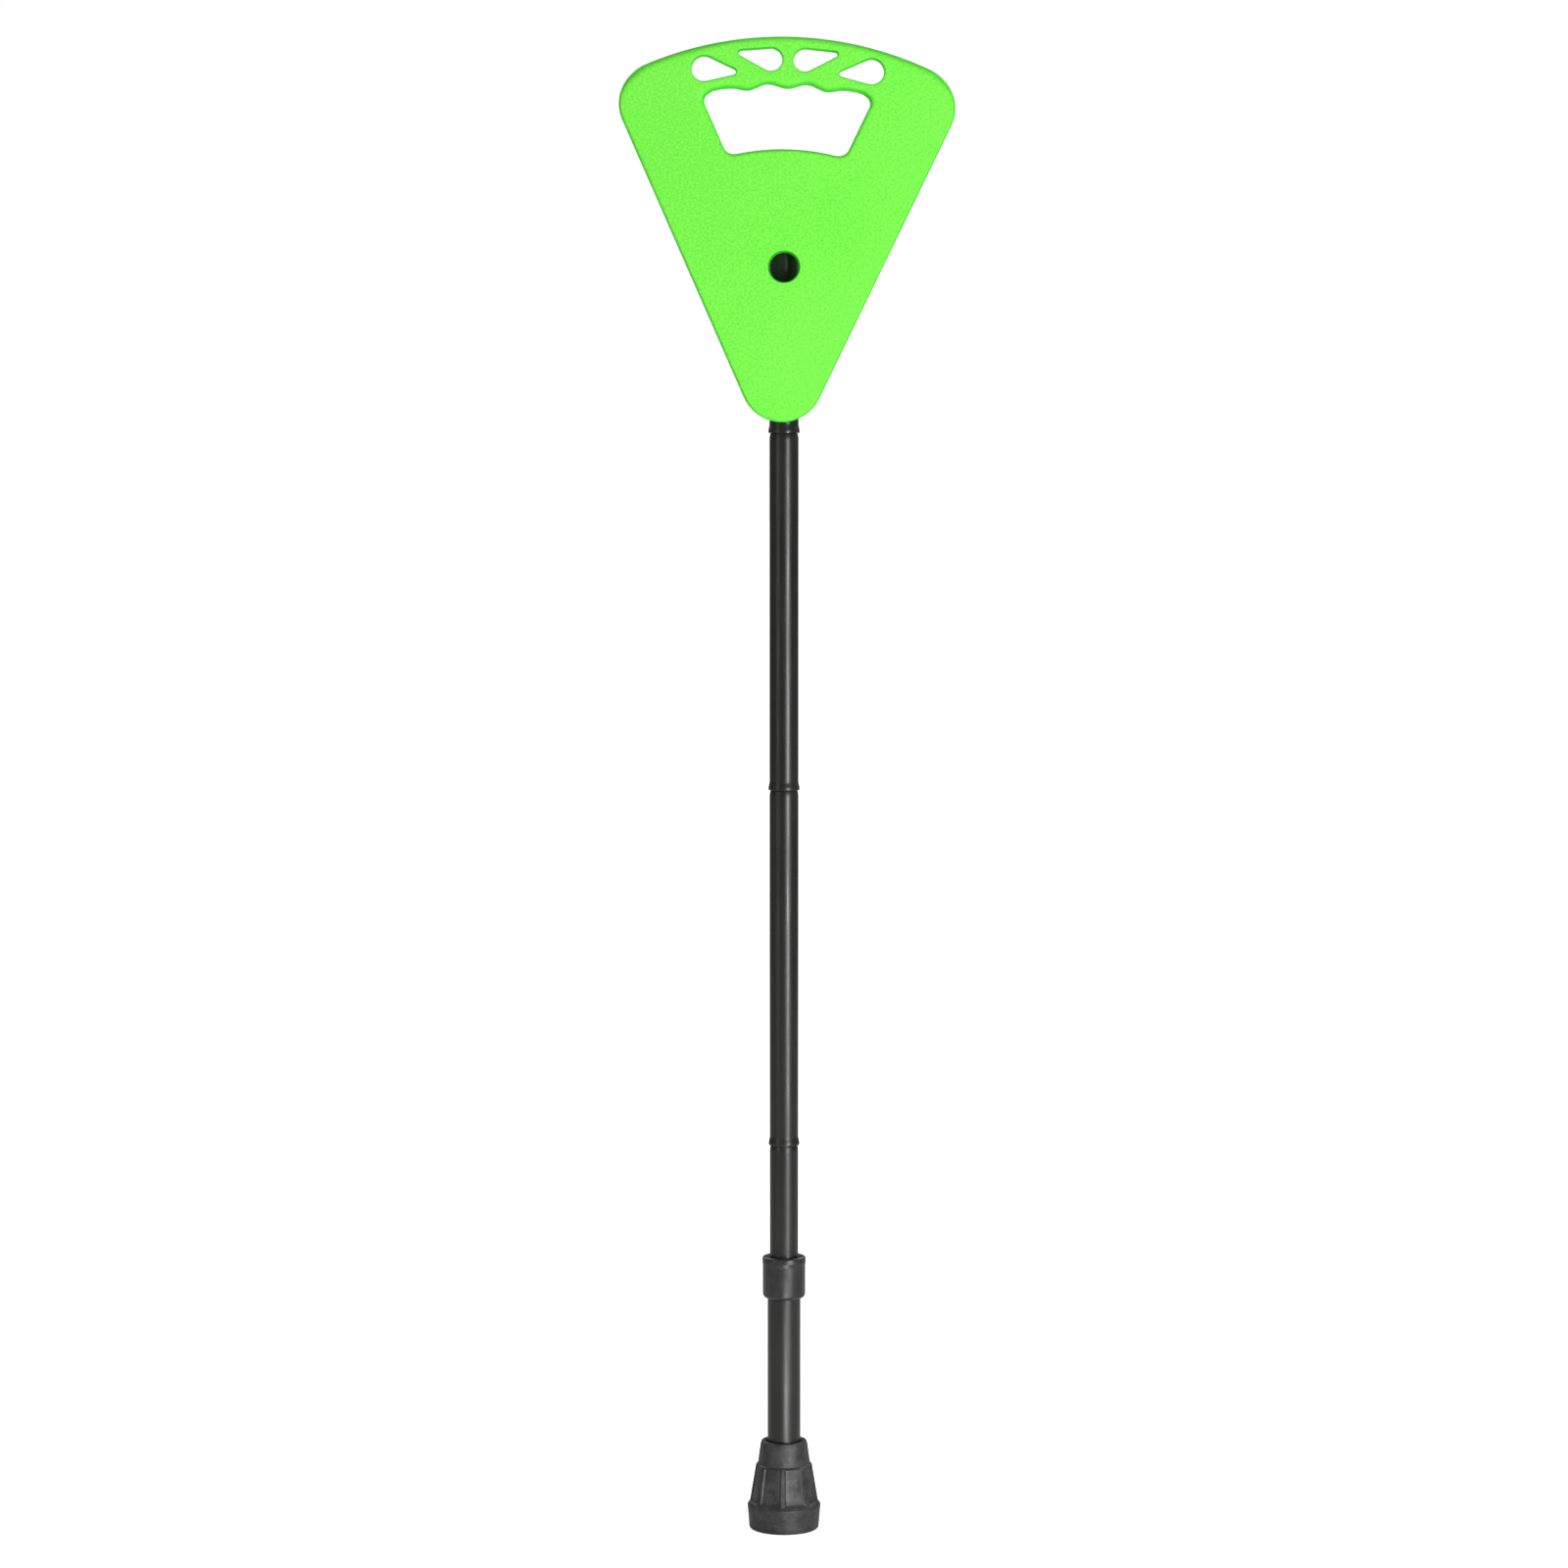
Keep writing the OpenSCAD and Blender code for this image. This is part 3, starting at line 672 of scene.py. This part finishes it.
def clipped(cell, boundary):
    """The part of a convex cell that lies inside a convex counterclockwise boundary."""
    for a, b in zip(boundary, np.roll(boundary, -1, 0)):
        edge = b - a
        side = edge[0] * (cell[:, 1] - a[1]) - edge[1] * (cell[:, 0] - a[0])
        kept = []
        for k in range(len(cell)):
            if side[k - 1] * side[k] < 0:
                share = side[k - 1] / (side[k - 1] - side[k])
                kept.append(cell[k - 1] + (cell[k] - cell[k - 1]) * share)
            if side[k] >= 0:
                kept.append(cell[k])
        if len(kept) < 3:
            return np.zeros((0, 2))
        cell = np.array(kept)
    return cell


def pockets():
    """The hollows between the ribs at the seat's back."""
    loop = seat_loop()
    coarse = slice(None, None, 6)
    boundary = (loop - outwards(loop) * RIM)[coarse]
    half, cells = (RIB_PITCH - RIB_T) / 2, []
    for row in RIB_ROWS:
        for column in RIB_COLUMNS:
            u, v = column * RIB_PITCH, SEAT_LOW + RIB_START + (row + 0.5) * RIB_PITCH
            top = min(v + half, GRIP_ZONE)
            cell = rounded([(u - half, v - half, POCKET_R), (u + half, v - half, POCKET_R),
                            (u + half, top, POCKET_R), (u - half, top, POCKET_R)], 3)
            cell = clipped(cell, boundary)
            if len(cell) > 2 and np.ptp(cell, axis=0).min() > POCKET_MIN:
                cells.append(prism(cell, SEAT_FRONT + SKIN, SEAT_BACK + PAST, POCKET_TAPER))
    return cells


def screw_places():
    """Where the bracket's four screws go in, in the seat's plane."""
    return [(x * SCREW_AT[0], HINGE_Z + z * SCREW_AT[1]) for x in (-1, 1) for z in (-1, 1)]


def disc(centre, radius, y0, y1):
    """Points and faces of a round rod along Y."""
    return prism(arc(centre, radius, 0, 360, 48), y0, y1)


def make_seat():
    """The green panel: hollow behind its skin, with bosses, a seat for the hinge and the pad."""
    floor = SEAT_FRONT + SKIN
    hollow = mesh_object("hollow", *joined(pockets()))
    solid = [((0, HOLE_V), HOLE_R + RIM), ((0, PAD_V), PAD_R + RIM)]
    solid += [(place, BOSS_R) for place in screw_places()]
    cut(hollow, [disc(place, radius, floor - BOSS_SUNK, SEAT_BACK + BOSS_PAST)
                 for place, radius in solid])
    seat = seat_plate()
    cut(seat, [taken(hollow)])
    w, h = PLATE_HALF
    recess = rounded([(-w, HINGE_Z - h, PLATE_R), (w, HINGE_Z - h, PLATE_R),
                      (w, HINGE_Z + h, PLATE_R), (-w, HINGE_Z + h, PLATE_R)], 4)
    cut(seat, [prism(recess, SEAT_BACK - PLATE_T - PLATE_SLACK, SEAT_BACK + PAST)])
    holes = [disc(place, SCREW_R, floor, SEAT_BACK + PAST) for place in screw_places()]
    cut(seat, holes + [disc((0, PAD_V), PAD_R, floor, SEAT_BACK + PAST)])
    about = Matrix.Translation((0, 0, HOLE_V * MM))
    seat.data.transform(about @ Matrix.Rotation(SEAT_LEAN, 4, "Y") @ about.inverted())
    seat.modifiers.new("flat faces stay flat", "WEIGHTED_NORMAL").keep_sharp = True
    stands_for(seat, "seat_panel")


# ---- Shaft -------------------------------------------------------------------------------------

def tube_profile(low, high, belled, shouldered):
    """Section of one tube's wall, with a bell over the joint below and a shoulder at its top."""
    lip, shoulder, drop = 0.9, 4.0, 0.55
    low_edge, knee, top_edge, shoulder_edge = 0.3, 0.09, 0.2, 0.15
    if belled:
        outer = [(BELL_R - low_edge, low), (BELL_R - knee, low + knee), (BELL_R, low + low_edge)]
        for t in np.linspace(0, 1, 12):
            swell = (BELL_R - TUBE_R) * (1 + math.cos(math.pi * t)) / 2
            outer.append((TUBE_R + swell, low + lip + t * (BELL_H - lip)))
    else:
        outer = [(TUBE_R - low_edge, low), (TUBE_R, low + low_edge)]
    if shouldered:
        for t in np.linspace(0, 1, 10):
            fall = drop * (1 - math.cos(math.pi / 2 * t))
            outer.append((TUBE_R - fall, high - shoulder * (1 - t)))
        outer[-1] = (TUBE_R - drop, high - shoulder_edge)
        outer.append((TUBE_R - drop - shoulder_edge, high))
    else:
        outer += [(TUBE_R, high - top_edge), (TUBE_R - top_edge, high)]
    return outer + [(BORE_R, high), (BORE_R, low)]


def make_tubes():
    """The four narrow tubes of the shaft; each top comes up to the bell that stands on it."""
    for node in ("upper_tube", "tube_2", "tube_3", "tube_4"):
        low, high = box_mm(node)
        top = high.z if node == "upper_tube" else high.z + JOINT_CLOSED
        profile = tube_profile(low.z, top, node != "tube_4", node != "upper_tube")
        tube = lathe(node + "_visual", profile, 96)
        if node == "tube_4":
            cut(tube, [button_hole(button_z(), BUTTON_HOLE_R)])
        stands_for(tube, node)


def button_z():
    """The height of the snap button's middle."""
    low, high = box_mm("snap_button")
    return (low.z + high.z) / 2


def button_hole(z, radius):
    """A cross hole through the back wall of a tube."""
    inside_tube, behind_tube = 4, 20
    return prism(arc((0, z), radius, 0, 360, 40), inside_tube, behind_tube)


def make_outer_tube():
    """The wider lower tube with its row of adjusting holes."""
    low, high = box_mm("outer_tube")
    low_edge, top_edge = 0.3, 0.4
    profile = [(OUTER_BORE_R, low.z), (high.x - low_edge, low.z), (high.x, low.z + low_edge),
               (high.x, high.z - top_edge), (high.x - top_edge, high.z), (OUTER_BORE_R, high.z)]
    tube = lathe("outer_tube_visual", profile, 112)
    heights = [button_z() + ADJUST_PITCH * k for k in range(ADJUST_HOLES)]
    cut(tube, [button_hole(z, ADJUST_HOLE_R) for z in heights])
    stands_for(tube, "outer_tube")


def make_collar():
    """The locking collar: soft lower edge, a slight brim, and a dished top round the tube."""
    low, high = box_mm("locking_collar")
    bore, lip, wall, brim = 10.27, 9.45, 13.2, 13.47
    wall_top, brim_low = low.z + 20.4, low.z + 22.6
    dish, lip_low = high.z - 2.8, high.z - 4
    profile = rounded([
        (bore, low.z, 0.5), (wall, low.z, 2.8), (wall, wall_top, 4), (brim, brim_low, 1.2),
        (brim - 0.2, high.z, 1.3), (brim - 1.9, high.z, 0.6), (lip, dish, 0.4),
        (lip, lip_low, 0), (bore, lip_low, 0)], 7)
    stands_for(lathe("locking_collar_visual", profile), "locking_collar")


def make_button():
    """The snap button: a domed pin on a flange."""
    low, high = box_mm("snap_button")
    radius, dome = 2.95, 1.0
    flange, flange_top, edge = high.x, low.y + 1.2, 0.2
    profile = [(0, low.y), (flange - edge, low.y), (flange, low.y + edge),
               (flange, flange_top - edge), (flange - edge, flange_top), (radius, low.y + 1.3)]
    for t in np.linspace(0, math.pi / 2, 9):
        profile.append((radius * math.cos(t), high.y - dome + dome * math.sin(t)))
    button = lathe("snap_button_visual", profile, 48)
    button.data.transform(Matrix.Translation((0, 0, button_z() * MM))
                          @ Matrix.Rotation(math.radians(-90), 4, "X"))
    stands_for(button, "snap_button")


def make_spring():
    """The leaf spring bent into a U; on the real stick its back leg gives way with the button, but
    here it stays still.
    """
    low, high = box_mm("button_spring")
    leaf, soft = 0.6, 0.15
    bend = (high.y - low.y) / 2 - leaf / 2
    middle = ((high.y + low.y) / 2, low.z + bend + leaf / 2)
    heights = np.linspace(high.z, middle[1], 14, endpoint=False)
    path = np.vstack([[(middle[0] - bend, z) for z in heights], arc(middle, bend, 180, 360, 28),
                      [(middle[0] + bend, z) for z in (middle[1], *heights[::-1])]])
    ahead = np.gradient(path, axis=0)
    across = np.column_stack([-ahead[:, 1], ahead[:, 0]])
    across /= np.linalg.norm(across, axis=1)[:, None]
    w, t = high.x, leaf / 2
    section = rounded([(-w, -t, soft), (w, -t, soft), (w, t, soft), (-w, t, soft)], 3)
    points = [(x, *(place + n * side)) for place, side in zip(path, across) for x, n in section]
    count, last = len(section), len(path) - 1
    faces = [tuple(range(count)), tuple(range(last * count, (last + 1) * count))]
    for ring in range(last):
        here, there = ring * count, (ring + 1) * count
        faces += [(here + k, here + (k + 1) % count, there + (k + 1) % count, there + k)
                  for k in range(count)]
    spring = mesh_object("button_spring_visual", points, faces)
    dress(spring, "button_spring")
    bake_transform(spring)


def make_cord():
    """The elastic cord in three lengths, each stretching across one joint."""
    low, high = box_mm("elastic_cord")
    middles = [(JOINT_ZS[2] + JOINT_ZS[1]) / 2, (JOINT_ZS[1] + JOINT_ZS[0]) / 2]
    ends = [low.z, *middles, high.z]
    for k in range(3):
        z0, z1 = ends[k], ends[k + 1]
        heights = np.linspace(z0, z1, 60)
        profile = [(0, z0), *((CORD_R, z) for z in heights), (0, z1)]
        cord = lathe(f"elastic_cord_{k + 1}_visual", profile, 24)
        dress(cord, "elastic_cord")
        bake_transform(cord)


# ---- Rubber foot -------------------------------------------------------------------------------

FLUTES = 8
FLUTE_DEPTH = 1.3
FLUTE_HALF = math.radians(18.5)
FLUTE_Z = (16.6, 40.2)          # heights where a flute starts and ends
FOOT_TURN = math.radians(-2.4)
OUTSIDE_R = 14                  # beyond this radius, and above the ring, lies the foot's cone
GROOVE_RS = (6, 11, 16)         # the rings underneath
GROOVE_HALF = 1
GROOVE_DEPTH = 1.2


def soft_step(x, start, end):
    """0 before the start, 1 after the end, and an eased rise between them."""
    t = min(max((x - start) / (end - start), 0), 1)
    return t * t * (3 - 2 * t)


def fluted(angle, radius, height):
    """The cone's radius with shallow flutes let into it between narrow ribs."""
    bottom, top = FLUTE_Z
    if radius < OUTSIDE_R or height < bottom - 1 or height > top + 1:
        return radius
    pitch = math.tau / FLUTES
    from_rib = (angle + math.pi / 2 - FOOT_TURN + pitch / 2) % pitch - pitch / 2
    off_flute = pitch / 2 - abs(from_rib)
    across = 1 - soft_step(off_flute, FLUTE_HALF * 0.9, FLUTE_HALF * 1.04)
    dish = 0.75 + 0.25 * math.cos(off_flute / FLUTE_HALF * math.pi / 2)
    along = soft_step(height, bottom, bottom + 1.6)
    along *= 1 - soft_step(height, top - 0.9, top)
    return radius - FLUTE_DEPTH * across * dish * along


def foot_profile():
    """The foot's section: base ring, cone, shoulder, neck and bore, with close points outside."""
    high = box_mm("ferrule")[1]
    ring_r, ring_z, top_r, shoulder_z = high.x, 16.0, 17.3, 40.0
    neck_r, rim_r, bore, floor = 16.2, 14.6, 10.25, 6.0
    outside = rounded([
        (0, 0, 0), (ring_r - 1.2, 0, 1.6), (ring_r, ring_z - 1, 1.2),
        (ring_r - 1.5, ring_z + 0.9, 0.9),
        (top_r, shoulder_z, 0.35), (neck_r, shoulder_z + 0.7, 0.5), (rim_r, high.z - 2.4, 1.5),
        (rim_r - 0.7, high.z, 0.8), (bore + 0.8, high.z, 0.6), (bore, high.z - 2, 0.5),
        (bore, floor, 0.5), (0, floor, 0)], 8)
    dense, spacing = [], 0.6
    for a, b in zip(outside, outside[1:]):
        is_outside = a[0] > OUTSIDE_R and b[0] > OUTSIDE_R
        steps = max(1, int(np.linalg.norm(b - a) / spacing)) if is_outside else 1
        dense += [a + (b - a) * k / steps for k in range(steps)]
    return dense + [outside[-1]]


def make_foot():
    """The rubber foot, with its flutes outside and its grooves underneath."""
    foot = lathe("ferrule_visual", foot_profile(), 384, fluted)
    for r in GROOVE_RS:
        inner, outer = r - GROOVE_HALF, r + GROOVE_HALF
        ring = rounded([(inner, -1, 0), (outer, -1, 0), (outer, GROOVE_DEPTH, 0.4),
                        (inner, GROOVE_DEPTH, 0.4)], 3)
        cut(foot, [taken(lathe("groove", ring, 96))])
    stands_for(foot, "ferrule")


def make_pad():
    """The rubber pad that rests on the tube, with a domed face."""
    low, high = box_mm("rest_pad")
    radius, dome, edge = 6.0, 1.5, 1.2
    profile = [(0, low.y), (radius, low.y)]
    for t in np.linspace(0, math.pi / 2, 8):
        profile.append((radius - edge * (1 - math.cos(t)), high.y - dome + edge * math.sin(t)))
    profile.append((0, high.y))
    pad = lathe("rest_pad_visual", profile, 64)
    middle = (low + high) / 2
    pad.data.transform(Matrix.Translation((middle.x * MM, 0, middle.z * MM))
                       @ Matrix.Rotation(math.radians(-90), 4, "X"))
    stands_for(pad, "rest_pad")


# ---- CAD pieces that stay ----------------------------------------------------------------------

def finish_cad():
    """Gives each CAD piece that still shows its material and slightly rounded edges."""
    for node, obj in frame["nodes"].items():
        obj.data.materials.clear()
        obj.data.materials.append(MATERIALS[SLOTS[node]])
        if obj.hide_render:
            continue
        weld = obj.modifiers.new("one skin", "WELD")
        weld.merge_threshold = 1e-6
        plane = obj.modifiers.new("plain faces", "DECIMATE")
        plane.decimate_type = "DISSOLVE"
        plane.angle_limit = math.radians(1)
        bevel = obj.modifiers.new("rounded edges", "BEVEL")
        bevel.width = 0.35 * MM
        bevel.segments = 3
        bevel.limit_method = "ANGLE"
        bevel.angle_limit = math.radians(40)
        bevel.harden_normals = True
        obj.data.shade_smooth()


# ---- Setting -----------------------------------------------------------------------------------

def make_floor():
    """A plain white floor, lit up for the camera alone so that it doesn't light the object."""
    material = new_material("floor_white", (0.9, 0.9, 0.9), 0.9, specular=0.1)
    nodes, links = material.node_tree.nodes, material.node_tree.links
    shader = nodes["Principled BSDF"]
    shader.inputs["Emission Color"].default_value = (1, 1, 1, 1)
    path = nodes.new("ShaderNodeLightPath")
    links.new(path.outputs["Is Camera Ray"], shader.inputs["Emission Strength"])
    reach, below = 30000, 0.2
    floor = mesh_object("floor", [(-reach, -reach, 0), (reach, -reach, 0), (reach, reach, 0),
                                  (-reach, reach, 0)], [(0, 1, 2, 3)])
    floor.data.materials.append(material)
    floor.location.z = -below * MM


def soft_light(name, place, target, size, power):
    """A soft box that looks at its target; lengths in metres, size as (width, height), watts."""
    data = bpy.data.lights.new(name, "AREA")
    data.shape = "RECTANGLE"
    data.size, data.size_y = size
    data.energy = power
    light = bpy.data.objects.new(name, data)
    light.location = place
    light.rotation_euler = (Vector(target) - Vector(place)).to_track_quat("-Z", "Y").to_euler()
    light.visible_camera = False
    bpy.context.scene.collection.objects.link(light)


def make_light():
    """A soft box at the front right, weak ones at the left, by the foot and above, two behind."""
    soft_light("key", (1.15, -1.85, 0.35), target=(0, 0, 0.45), size=(0.4, 0.7), power=32)
    soft_light("fill", (-1.75, -1.5, 0.8), target=(0, 0, 0.5), size=(0.8, 1.4), power=6)
    soft_light("low", (0.06, -0.25, 0.03), target=(0, 0, 0.06), size=(0.06, 0.05), power=0.3)
    soft_light("top", (0, -0.4, 2.3), target=(0, 0, 0.8), size=(1.4, 1.4), power=6)
    for side in (-1, 1):
        soft_light("back", (side * 1.0, 1.5, 1.7), target=(0, 0, 0.6), size=(1.0, 1.0), power=17)


def make_world():
    """A dim white room for the object, and a bright one for the camera."""
    world = bpy.data.worlds.new("studio")
    world.use_nodes = True
    nodes, links = world.node_tree.nodes, world.node_tree.links
    room = nodes["Background"]
    room.inputs["Color"].default_value = (1, 1, 1, 1)
    room.inputs["Strength"].default_value = 0.2
    backdrop = nodes.new("ShaderNodeBackground")
    backdrop.inputs["Color"].default_value = (1, 1, 1, 1)
    backdrop.inputs["Strength"].default_value = 1.0
    path = nodes.new("ShaderNodeLightPath")
    mix = nodes.new("ShaderNodeMixShader")
    links.new(path.outputs["Is Camera Ray"], mix.inputs["Fac"])
    links.new(room.outputs["Background"], mix.inputs[1])
    links.new(backdrop.outputs["Background"], mix.inputs[2])
    links.new(mix.outputs["Shader"], nodes["World Output"].inputs["Surface"])
    bpy.context.scene.world = world


def make_camera():
    """A long lens in front of the stick, a little above its middle and tilted slightly down."""
    data = bpy.data.cameras.new("camera")
    data.lens = 100
    data.sensor_width = 36
    distance, height, tilt_down = 2.65, 0.676, 4.63
    camera = bpy.data.objects.new("camera", data)
    camera.location = (0, -distance, height)
    camera.rotation_euler = (math.radians(90 - tilt_down), 0, 0)
    bpy.context.scene.collection.objects.link(camera)
    bpy.context.scene.camera = camera


make_camera()
make_seat()
make_tubes()
make_outer_tube()
make_collar()
make_button()
make_spring()
make_cord()
make_foot()
make_pad()
finish_cad()
make_floor()
make_light()
make_world()
bpy.context.scene.view_settings.view_transform = "Standard"
